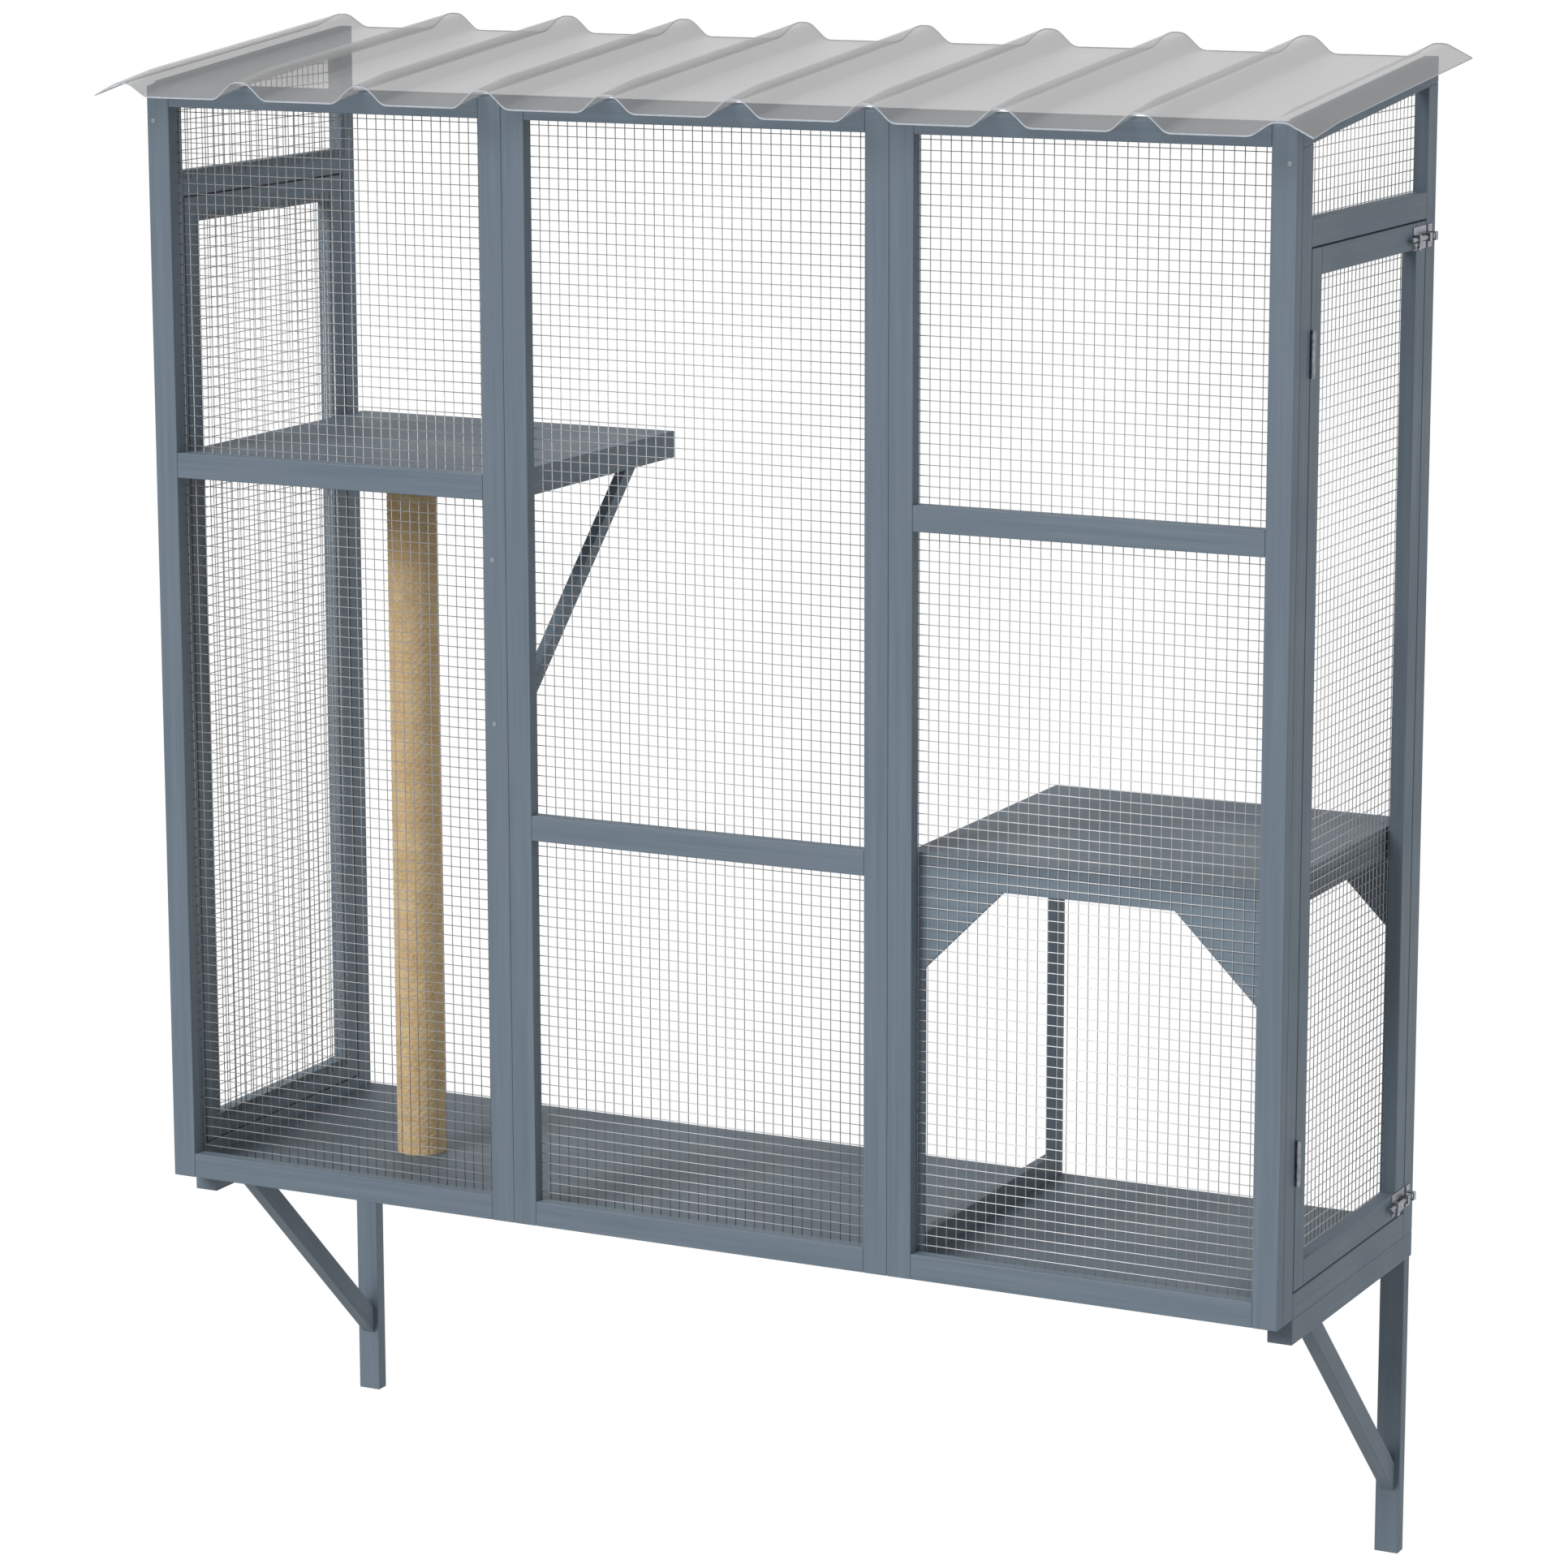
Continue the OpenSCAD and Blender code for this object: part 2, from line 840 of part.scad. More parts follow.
module shelf_board() {
    color("LightSlateGray")
        block([shelf_x0, shelf_y0, shelf_z], [edge_x0, shelf_y1, shelf_z + shelf_t]);
}

module shelf_edge_board() {
    color("SlateGray")
        block([edge_x0, shelf_y0, edge_z], [shelf_x1, shelf_y1, shelf_z + shelf_t]);
}

// Battens under the shelf board: front, rear and left.
module shelf_battens() {
    color("SlateGray") {
        block([shelf_x0, shelf_y0, outer_rail_z], [edge_x0, shelf_y0 + stick_t, shelf_z]);
        block([shelf_x0, shelf_y1 - stick_t, outer_rail_z], [edge_x0, shelf_y1, shelf_z]);
        block([shelf_x0, shelf_y0 + stick_t, outer_rail_z],
            [shelf_x0 + stick_t, shelf_y1 - stick_t, shelf_z]);
    }
}

// The brace from the front wall, beside the mesh sheet, up to the shelf's edge board.
module shelf_brace() {
    y1 = back_y + brace_reach;
    foot = edge_z - brace_reach * tan(brace_angle);
    thick_v = stick_t / cos(brace_angle);
    color("SlateGray")
        slab_x(brace_x0, shelf_x1, [
            [back_y, foot],
            [y1, edge_z],
            [y1 - thick_v / tan(brace_angle), edge_z],
            [back_y, foot + thick_v]
        ]);
}

module sisal_post() {
    color("Tan")
        translate([-half_w + post_in, -post_back, floor_t])
            cylinder(h = shelf_z - floor_t, r = post_r, $fn = round_fn);
}

module house_platform() {
    color("SlateGray")
        block([house_x0, net_y, platform_z], [house_x1, 0, platform_z + platform_t]);
}

// An arch board whose rim is this wide on the left and on the right: the opening goes down to
// the floor and its upper corners are cut.
module arch_board(y0, left, right) {
    a = house_x0 + left;
    b = house_x1 - right;
    top = platform_z - arch_head;
    color("LightSlateGray")
        slab_y(y0, y0 + arch_t, [
            [house_x0, floor_t],
            [a, floor_t],
            [a, top - arch_corner],
            [a + arch_corner, top],
            [b - arch_corner, top],
            [b, top - arch_corner],
            [b, floor_t],
            [house_x1, floor_t],
            [house_x1, platform_z],
            [house_x0, platform_z]
        ]);
}

module house_front_arch() {
    arch_board(net_y, arch_left, arch_right);
}

module house_rear_arch() {
    arch_board(-arch_t, side_t, side_t);
}

module house_legs() {
    color("SlateGray")
        for (x = [house_x0, house_x1 - side_t])
            for (y = [leg_front_y, leg_rear_y])
                block([x, y, floor_t], [x + side_t, y + leg_d, platform_z]);
}

module house_top_rails() {
    color("SlateGray")
        for (x = [house_x0, house_x1 - side_t])
            block([x, leg_front_y + leg_d, platform_z - arch_head],
                [x + side_t, leg_rear_y, platform_z]);
}

module house_base_rails() {
    color("SlateGray")
        for (x = [house_x0, house_x1 - side_t])
            block([x, leg_front_y + leg_d, floor_t],
                [x + side_t, leg_rear_y, floor_t + base_rail_h]);
}

module bracket_arms() {
    color("SlateGray")
        for (s = [-1, 1])
            side_block(s, [half_w - stick_w, -arm_l, -stick_w], [half_w, 0, 0]);
}

// The two legs flat on the house wall, under the ends of the arms.
module bracket_legs() {
    x1 = half_w - leg_inset;
    color("SlateGray")
        for (s = [-1, 1])
            side_block(s, [x1 - stick_w, -stick_t, -stick_w - leg_l], [x1, 0, -stick_w]);
}

// The two diagonals between arm and leg, on the middle of the leg's width.
module bracket_braces() {
    x1 = half_w - leg_inset - (stick_w - stick_t) / 2;
    color("SlateGray")
        for (s = [-1, 1])
            slab_x(s > 0 ? x1 - stick_t : -x1, s > 0 ? x1 : stick_t - x1, [
                [-stick_t - diagonal_near / diagonal_rise, -stick_w],
                [-stick_t - diagonal_far / diagonal_rise, -stick_w],
                [-stick_t, -stick_w - diagonal_far],
                [-stick_t, -stick_w - diagonal_near]
            ]);
}

left_panel_stiles();
left_panel_top_rail();
left_panel_mid_rail();
left_panel_bottom_rail();
left_panel_net();
middle_panel_stiles();
middle_panel_top_rail();
middle_panel_mid_rail();
middle_panel_bottom_rail();
middle_panel_net();
right_panel_stiles();
right_panel_top_rail();
right_panel_mid_rail();
right_panel_bottom_rail();
right_panel_net();
front_screws();
left_wall_stiles();
left_wall_top_rail();
left_wall_cross_rail();
left_wall_bottom_rail();
left_transom_net();
right_wall_stiles();
right_wall_top_rail();
right_wall_cross_rail();
right_wall_bottom_rail();
right_transom_net();
left_door_stiles();
left_door_rails();
left_door_net();
right_door_stiles();
right_door_rails();
right_door_net();
left_frame_leaves();
left_door_leaves();
right_frame_leaves();
right_door_leaves();
hinge_pins();
left_bolt_cases();
right_bolt_cases();
bolt_keeps();
left_upper_bolt();
left_lower_bolt();
right_upper_bolt();
right_lower_bolt();
roof_sheet();
floor_board();
shelf_board();
shelf_edge_board();
shelf_battens();
shelf_brace();
sisal_post();
house_platform();
house_front_arch();
house_rear_arch();
house_legs();
house_top_rails();
house_base_rails();
bracket_arms();
bracket_legs();
bracket_braces();
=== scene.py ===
import math

import bpy
from mathutils import Matrix, Vector


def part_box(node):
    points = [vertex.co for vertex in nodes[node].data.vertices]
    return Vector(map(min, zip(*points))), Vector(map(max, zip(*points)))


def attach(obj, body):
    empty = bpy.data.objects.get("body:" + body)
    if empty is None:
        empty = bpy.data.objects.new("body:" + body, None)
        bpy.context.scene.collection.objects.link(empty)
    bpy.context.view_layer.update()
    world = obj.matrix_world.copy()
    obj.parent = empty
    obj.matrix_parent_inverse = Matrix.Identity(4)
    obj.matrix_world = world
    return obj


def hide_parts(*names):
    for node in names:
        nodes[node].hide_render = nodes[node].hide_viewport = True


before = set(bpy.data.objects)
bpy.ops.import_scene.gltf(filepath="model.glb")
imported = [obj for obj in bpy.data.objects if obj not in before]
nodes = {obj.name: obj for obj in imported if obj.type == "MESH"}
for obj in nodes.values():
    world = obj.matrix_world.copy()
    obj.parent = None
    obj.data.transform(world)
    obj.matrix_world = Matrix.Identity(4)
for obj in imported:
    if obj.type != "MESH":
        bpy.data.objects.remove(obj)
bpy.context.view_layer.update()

# ---------------------------------------------------------------- camera

YAW, PITCH, ROLL = (math.radians(a) for a in (26.5396, 11.5436, -0.108))
CAMERA_AT = (2.8006, -5.8246, 1.81138)
FOCAL_PX = 6404.25
IMAGE_PX = 1932
SENSOR_MM = 36.0
CLIP_END = 400.0


def link(o):
    bpy.context.scene.collection.objects.link(o)


def add_camera():
    """The camera at the picture's viewing angle, rolled about its own axis."""
    forward = Vector((-math.sin(YAW) * math.cos(PITCH), math.cos(YAW) * math.cos(PITCH), -math.sin(PITCH)))
    right = Vector((math.cos(YAW), math.sin(YAW), 0.0))
    up = right.cross(forward)
    cam_x = math.cos(ROLL) * right + math.sin(ROLL) * up
    cam_y = -math.sin(ROLL) * right + math.cos(ROLL) * up
    cam = bpy.data.objects.new("camera", bpy.data.cameras.new("camera"))
    cam.data.sensor_width = SENSOR_MM
    cam.data.lens = FOCAL_PX / IMAGE_PX * SENSOR_MM
    cam.data.clip_end = CLIP_END
    turn = Matrix((cam_x, cam_y, -forward)).transposed().to_4x4()
    cam.matrix_world = Matrix.Translation(CAMERA_AT) @ turn
    link(cam)
    bpy.context.scene.camera = cam


add_camera()

# ---------------------------------------------------------------- material tools


def rgb(r, g, b):
    """An sRGB colour, 0 to 255, as the linear one that Blender reads."""
    def lin(c):
        c /= 255.0
        return c / 12.92 if c <= 0.04045 else ((c + 0.055) / 1.055) ** 2.4
    return (lin(r), lin(g), lin(b), 1.0)


def grey(v):
    return rgb(v, v, v)


class Mat:
    """A material with its Principled shader and short ways to add nodes."""

    def __init__(self, name):
        self.mat = bpy.data.materials.new(name)
        self.mat.use_nodes = True
        self.tree = self.mat.node_tree
        self.bsdf = self.tree.nodes["Principled BSDF"]

    def add(self, kind, inputs, **props):
        n = self.tree.nodes.new(kind)
        for key, value in props.items():
            setattr(n, key, value)
        for key, value in inputs.items():
            self.put(n.inputs[key], value)
        return n

    def put(self, socket, value):
        if isinstance(value, bpy.types.NodeSocket):
            self.tree.links.new(value, socket)
        else:
            socket.default_value = value

    def place(self, x, y, z, turn_x=0.0):
        """Object coordinates in metres, turned about X and scaled along each axis."""
        out = self.add("ShaderNodeTexCoord", {}).outputs["Object"]
        if turn_x:
            out = self.add("ShaderNodeMapping", {"Vector": out, "Rotation": (turn_x, 0.0, 0.0)}).outputs[0]
        return self.add("ShaderNodeMapping", {"Vector": out, "Scale": (x, y, z)}).outputs[0]

    def along(self, axis):
        """The object coordinate along one axis, in metres."""
        return self.add("ShaderNodeSeparateXYZ", {0: self.place(1.0, 1.0, 1.0)}).outputs[axis]

    def noise(self, vector, scale, detail, rough):
        inputs = {"Vector": vector, "Scale": scale, "Detail": detail, "Roughness": rough}
        return self.add("ShaderNodeTexNoise", inputs).outputs["Fac"]

    def ramp(self, fac, *stops):
        n = self.add("ShaderNodeValToRGB", {"Fac": fac})
        e = n.color_ramp.elements
        while len(e) < len(stops):
            e.new(0.5)
        for i, (pos, colour) in enumerate(stops):
            e[i].position = pos
            e[i].color = colour
        return n.outputs["Color"]

    def remap(self, value, a, b, c, d):
        """The value's range a to b, carried over to c to d."""
        return self.add("ShaderNodeMapRange", {0: value, 1: a, 2: b, 3: c, 4: d}).outputs[0]

    def math(self, op, a, b=0.0):
        return self.add("ShaderNodeMath", {0: a, 1: b}, operation=op).outputs[0]

    def mix(self, fac, a, b):
        return self.add("ShaderNodeMix", {0: fac, 6: a, 7: b}, data_type="RGBA").outputs[2]

    def bump(self, height, distance, strength):
        n = self.add("ShaderNodeBump", {"Height": height, "Distance": distance, "Strength": strength})
        self.put(self.bsdf.inputs["Normal"], n.outputs[0])

    def set(self, **sockets):
        for key, value in sockets.items():
            self.put(self.bsdf.inputs[key.replace("_", " ")], value)
        return self.mat


# ---------------------------------------------------------------- paint

PAINT = ((102, 118, 130), (111, 126, 138), (120, 133, 145))
PAINT_WARM = (114, 126, 139)
GRAIN_ALONG, GRAIN_ACROSS = 3.0, 130.0
GRAIN_DEPTH = 0.00035
# painted shade: the house's inner legs and rails take this darker tone for the shade inside the house
INNER_SHADE_TONE = 0.86
BOARD_FINE = 0.6


def painted(name, grain, turn_x=0.0, tone=1.0, fine=1.0):
    """Satin blue grey paint over planed softwood, its grain along one axis. fine is how strongly the grain
    stands out; tone scales the paint, and a tone below 1 paints shade onto a part, above 1 paints light."""
    m = Mat(name)
    scale = [GRAIN_ALONG if axis == grain else GRAIN_ACROSS for axis in "xyz"]
    where = m.place(*scale, turn_x)
    streak = m.noise(where, 1.0, 4.0, 0.6)
    fibre = m.noise(where, 4.5, 2.0, 0.5)
    cloud = m.noise(m.place(7.0, 7.0, 7.0), 1.0, 3.0, 0.6)
    dark, middle, light, warm = (rgb(*(tone * q for q in p)) for p in (*PAINT, PAINT_WARM))
    base = m.ramp(streak, (0.3, dark), (0.5, middle), (0.72, light))
    base = m.mix(m.remap(cloud, 0.4, 0.62, 0.0, 0.55), base, warm)
    rough = m.remap(m.math("ADD", m.math("MULTIPLY", fibre, 0.5), cloud), 0.5, 1.0, 0.5, 0.66)
    broad = m.math("MULTIPLY", streak, 0.7 * fine)
    close = m.math("MULTIPLY", fibre, 0.3 * fine)
    m.bump(m.math("ADD", broad, close), GRAIN_DEPTH, 0.6)
    return m.set(Base_Color=base, Roughness=rough, Specular_IOR_Level=0.4)


def slope_of(node):
    """The angle at which a sloping stick rises towards the house wall."""
    lo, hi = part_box(node)
    return math.atan2(hi.z - lo.z, hi.y - lo.y)


sticks = {g: painted("painted_stick_" + g, g) for g in "xyz"}
sticks["up"] = painted("painted_stick_up", "y", turn_x=-slope_of("shelf_brace"))
sticks["down"] = painted("painted_stick_down", "y", turn_x=slope_of("bracket_braces"))
# painted shade: darker copies of the stick paint for the house's inner legs and rails
sticks["shaded_inner_y"] = painted("painted_inner_y", "y", tone=INNER_SHADE_TONE)
sticks["shaded_inner_z"] = painted("painted_inner_z", "z", tone=INNER_SHADE_TONE)
# painted shade: the boards along x, the floor, shelf and platform tops, are 7 percent darker for the shade
# under the roof; the edge board along y keeps the plain paint
boards = {g: painted("painted_board_" + g, g, tone=t, fine=BOARD_FINE) for g, t in (("x", 0.93), ("y", 1.0))}
# painted light: the house's arch boards are 6 percent lighter for the light on the house front
arch_boards_painted_light = painted("painted_arch_board_lit", "x", tone=1.06, fine=BOARD_FINE)

# ---------------------------------------------------------------- metal

MOTTLE_DEPTH, MOTTLE_STRENGTH = 0.0001, 0.35
PLATE_SCALE, WIRE_SCALE = 160.0, 260.0
PANEL_H = 1.4


def mottle(m, scale):
    """The faint crystals of a zinc coat, with their relief."""
    spangle = m.noise(m.place(scale, scale, scale), 1.0, 3.0, 0.6)
    m.bump(spangle, MOTTLE_DEPTH, MOTTLE_STRENGTH)
    return spangle


def metal(name, dark, light, rough, metallic, scale=PLATE_SCALE):
    """Zinc plated or painted steel with a faint mottle."""
    m = Mat(name)
    spangle = mottle(m, scale)
    m.set(Metallic=metallic)
    return m.set(Base_Color=m.ramp(spangle, (0.32, dark), (0.68, light)),
                 Roughness=m.remap(spangle, 0.3, 0.7, rough - 0.08, rough + 0.1))


def zinc_with_painted_light(name, low, middle, high):
    """Galvanised wire whose grey changes with height, near the floor, halfway up and near the roof: lighter
    low down as a painted highlight, darker near the roof as painted shade.
    """
    m = Mat(name)
    spangle = mottle(m, WIRE_SCALE)
    height = m.remap(m.along(2), 0.0, PANEL_H, 0.0, 1.0)
    base = m.ramp(height, (0.32, grey(low)), (0.56, grey(middle)), (0.95, grey(high)))
    base = m.mix(m.remap(spangle, 0.35, 0.65, 0.0, 0.08), base, grey(150))
    m.set(Metallic=0.25)
    return m.set(Base_Color=base, Roughness=m.remap(spangle, 0.3, 0.7, 0.48, 0.6))


wire = metal("galvanised_wire", grey(156), grey(180), 0.38, 0.7, WIRE_SCALE)
zinc = metal("zinc_plate", rgb(118, 121, 127), rgb(162, 165, 172), 0.32, 0.9)
painted_steel = metal("painted_screw", rgb(140, 150, 159), rgb(156, 165, 173), 0.5, 0.2)
# painted light: the level wires and the right uprights are lighter low down and towards the right as a
# painted highlight, and darker near the roof as painted shade; the other uprights keep the plain wire finish
level_wires_painted_light = {"left": zinc_with_painted_light("galvanised_level_left_painted_light", 176, 168, 160),
               "middle": zinc_with_painted_light("galvanised_level_middle_painted_light", 208, 192, 164),
               "right": zinc_with_painted_light("galvanised_level_right_painted_light", 250, 214, 166)}
upright_wires = {"left": wire,
                 "middle": wire,
                 "right": zinc_with_painted_light("galvanised_upright_right_painted_light", 205, 184, 158)}

# ---------------------------------------------------------------- roof and sisal finishes

SHEET_T = 0.0015
CRESTS = 10
OVERALL_W, CREST_SHORT = 1.5, 0.0042
PITCH_X = (OVERALL_W - CREST_SHORT) / (CRESTS - 1)
SHIFT_X = 0.003
# painted light and shade on the sheet: its alpha is lower on the left slope of each crest and higher in thin
# lines at the crest's foot and shoulder
CLEAR_FROM, CLEAR_TO, CLEAR_BLEND = 0.29, 0.43, 0.03
CLEARER_PAINTED_LIGHT = 0.3
FOOT_AT, SHOULDER_AT, LINE_HALF, DENSER_PAINTED_SHADE = 0.305, 0.415, 0.02, 0.1
SHADOW_SHARE = 0.3


def smoky():
    """Smoky translucent sheet: it lets about a quarter of the light behind it through both its faces."""
    m = Mat("smoky_sheet")
    m.mat.surface_render_method = "BLENDED"
    haze = m.noise(m.place(9.0, 2.0, 9.0), 1.0, 3.0, 0.5)
    fine = m.noise(m.place(60.0, 4.0, 60.0), 1.0, 2.0, 0.5)
    base = m.ramp(haze, (0.3, rgb(151, 152, 153)), (0.7, rgb(158, 159, 159)))
    # place across one crest: its middle at 0.5; the left slope is clearer as painted light against its
    # shade, and the foot and shoulder are denser as painted shade lines
    u = m.math("FRACT", m.math("DIVIDE", m.math("SUBTRACT", m.along(0), SHIFT_X), PITCH_X))
    rise = m.remap(u, CLEAR_FROM, CLEAR_FROM + CLEAR_BLEND, 0.0, 1.0)
    fall = m.remap(u, CLEAR_TO - CLEAR_BLEND, CLEAR_TO, 1.0, 0.0)
    slope = m.math("MULTIPLY", m.math("MULTIPLY", rise, fall), CLEARER_PAINTED_LIGHT)
    dense = m.math("SUBTRACT", m.remap(haze, 0.3, 0.7, 0.475, 0.485), slope)
    for at in (FOOT_AT, SHOULDER_AT):
        off = m.math("ABSOLUTE", m.math("SUBTRACT", u, at))
        dense = m.math("ADD", dense, m.remap(off, 0.0, LINE_HALF, DENSER_PAINTED_SHADE, 0.0))
    # most of the light that falls on the sheet goes on through it, scattered
    shade = m.add("ShaderNodeLightPath", {}).outputs["Is Shadow Ray"]
    alpha = m.math("MULTIPLY", dense, m.remap(shade, 0.0, 1.0, 1.0, SHADOW_SHARE))
    rough = m.remap(fine, 0.3, 0.7, 0.29, 0.32)
    return m.set(Base_Color=base, Alpha=alpha, Roughness=rough, Specular_IOR_Level=0.5)


def cut_edge_highlight():
    """The sheet's cut edges, painted pale as a highlight where they catch the light."""
    m = Mat("smoky_sheet_edge_highlight")
    haze = m.noise(m.place(160.0, 160.0, 160.0), 1.0, 2.0, 0.5)
    base = m.ramp(haze, (0.3, rgb(188, 196, 206)), (0.7, rgb(206, 212, 220)))
    return m.set(Base_Color=base, Roughness=m.remap(haze, 0.3, 0.7, 0.3, 0.4))


def woven():
    """Woven sisal: straw coloured, speckled, with paler and darker bands."""
    m = Mat("woven_sisal")
    fleck = m.noise(m.place(330.0, 330.0, 520.0), 1.0, 3.0, 0.65)
    patch = m.noise(m.place(42.0, 42.0, 30.0), 1.0, 4.0, 0.6)
    band = m.noise(m.place(6.0, 6.0, 120.0), 1.0, 2.0, 0.5)
    straw = m.ramp(patch, (0.28, rgb(220, 183, 130)), (0.5, rgb(246, 212, 160)), (0.74, rgb(255, 234, 190)))
    thread = m.ramp(fleck, (0.3, rgb(176, 138, 94)), (0.55, rgb(246, 215, 167)), (0.75, rgb(255, 242, 208)))
    base = m.mix(0.45, straw, thread)
    base = m.mix(m.remap(band, 0.35, 0.65, 0.0, 0.35), base, rgb(206, 174, 126))
    m.bump(fleck, 0.0008, 0.8)
    m.set(Sheen_Weight=0.15)
    return m.set(Base_Color=base, Roughness=m.remap(fleck, 0.3, 0.7, 0.85, 0.98), Specular_IOR_Level=0.2)


# ---------------------------------------------------------------- finishes of the CAD nodes

LEFT_RIGHT = ("left", "right")
PANELS = ("left", "middle", "right")
STICK_EDGE, BOARD_EDGE, PLATE_EDGE = 0.0011, 0.0007, 0.0002
WELD_WITHIN = 0.00002
ROUND_SEGMENTS = 2
ROUND_OVER = math.radians(40)

STICK_NODES = {
    "x": [f"{p}_panel_{r}_rail" for p in PANELS for r in ("top", "mid", "bottom")],
    "y": [f"{s}_wall_{r}_rail" for s in LEFT_RIGHT for r in ("top", "cross", "bottom")]
         + [f"{s}_door_rails" for s in LEFT_RIGHT] + ["bracket_arms", "shelf_battens"],
    "z": [f"{p}_panel_stiles" for p in PANELS]
         + [f"{s}_{o}_stiles" for o in ("wall", "door") for s in LEFT_RIGHT] + ["bracket_legs"],
    "up": ["shelf_brace"],
    "down": ["bracket_braces"],
    "shaded_inner_y": ["house_top_rails", "house_base_rails"],
    "shaded_inner_z": ["house_legs"],
}
BOARD_NODES = {"x": ["floor_board", "shelf_board", "house_platform"],
               "y": ["shelf_edge_board"]}
ARCH_NODES = ["house_front_arch", "house_rear_arch"]
PLATE_NODES = ["left_bolt_cases", "right_bolt_cases", "bolt_keeps"]
SMALL_NODES = (["hinge_pins"] + [f"{s}_{o}_leaves" for s in LEFT_RIGHT for o in ("door", "frame")]
               + [f"{s}_{h}_bolt" for s in LEFT_RIGHT for h in ("upper", "lower")])


def finish_nodes(names, mat, edge=0.0):
    """Gives CAD nodes their material, and their edges a small round where edge says how wide."""
    for name in names:
        o = nodes[name]
        for s in o.material_slots:
            s.material = mat
        if edge:
            weld = o.modifiers.new("weld", "WELD")
            weld.merge_threshold = WELD_WITHIN
            bevel = o.modifiers.new("round", "BEVEL")
            bevel.width = edge
            bevel.segments = ROUND_SEGMENTS
            bevel.limit_method = "ANGLE"
            bevel.angle_limit = ROUND_OVER


for grain, names in STICK_NODES.items():
    finish_nodes(names, sticks[grain], STICK_EDGE)
for grain, names in BOARD_NODES.items():
    finish_nodes(names, boards[grain], BOARD_EDGE)
finish_nodes(ARCH_NODES, arch_boards_painted_light, BOARD_EDGE)
finish_nodes(PLATE_NODES, zinc, PLATE_EDGE)
finish_nodes(SMALL_NODES, zinc)

# ---------------------------------------------------------------- mesh tools

SOLID_GAP = 0.004


def piece(name, verts, faces, mat, body):
    """A new smooth-shaded object that rides on a body and takes the given material."""
    me = bpy.data.meshes.new(name)
    me.from_pydata([tuple(v) for v in verts], [], faces)
    me.validate()
    me.materials.append(mat)
    me.polygons.foreach_set("use_smooth", [True] * len(me.polygons))
    o = bpy.data.objects.new(name, me)
    link(o)
    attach(o, body)
    return o


def second_finish(o, mat, picks):
    """Gives the faces picked with 1 a second material."""
    o.data.materials.append(mat)
    o.data.polygons.foreach_set("material_index", picks)


def solids_of(node):
    """The boxes of a node's separate solids, found by how far their corners lie apart."""
    groups = []
    for v in nodes[node].data.vertices:
        hit = [g for g in groups
               if all(g[0][k] - SOLID_GAP <= v.co[k] <= g[1][k] + SOLID_GAP for k in range(3))]
        lo, hi = Vector(v.co), Vector(v.co)
        for g in hit:
            lo = Vector(min(a, b) for a, b in zip(lo, g[0]))
            hi = Vector(max(a, b) for a, b in zip(hi, g[1]))
            groups.remove(g)
        groups.append((lo, hi))
    return groups


# ---------------------------------------------------------------- welded mesh

WIRE_R = 0.00055
WIRE_SIDES = 6
ASIDE = Vector((0.31, 0.87, 0.38))
WIRE_MARGIN = 0.0006
SHORTEST_WIRE = 0.004
HALVINGS = 30
FRONT_PITCH, SIDE_PITCH = (0.01277, 0.01245), (0.01255, 0.01245)
LEVEL_PHASE, SIDE_PHASE = 0.00178, -0.2
FRONT_PHASES = {"left": -0.5004, "middle": 0.0045, "right": 0.5018}
WALL_TOP_REAR, WALL_TOP_FRONT, WALL_D = 1.4277, 1.3812, 0.455
SIDE_SLOPE = (WALL_TOP_REAR - WALL_TOP_FRONT) / WALL_D


def rod(verts, faces, a, b):
    """A straight wire from a to b. ASIDE is no wire's direction."""
    line = (b - a).normalized()
    side = line.cross(ASIDE).normalized()
    other = line.cross(side)
    start = len(verts)
    for end in (a, b):
        for k in range(WIRE_SIDES):
            t = 2 * math.pi * k / WIRE_SIDES
            verts.append(end + WIRE_R * (math.cos(t) * side + math.sin(t) * other))
    far = start + WIRE_SIDES
    for k in range(WIRE_SIDES):
        n = (k + 1) % WIRE_SIDES
        faces.append((start + k, start + n, far + n, far + k))
    faces.append(tuple(start + k for k in reversed(range(WIRE_SIDES))))
    faces.append(tuple(far + k for k in range(WIRE_SIDES)))


def steps(a, b, pitch, phase):
    """Places pitch apart between a and b, one of them at phase."""
    k = math.ceil((a - phase) / pitch)
    out = []
    while phase + k * pitch <= b:
        out.append(phase + k * pitch)
        k += 1
    return out


def under_edge(head, z, a, b):
    """The place between a and b where the sloping upper edge, head, rises to the height z."""
    low, high = a, b
    for _ in range(HALVINGS):
        mid = 0.5 * (low + high)
        low, high = (mid, high) if z > head(mid) else (low, mid)
    return high


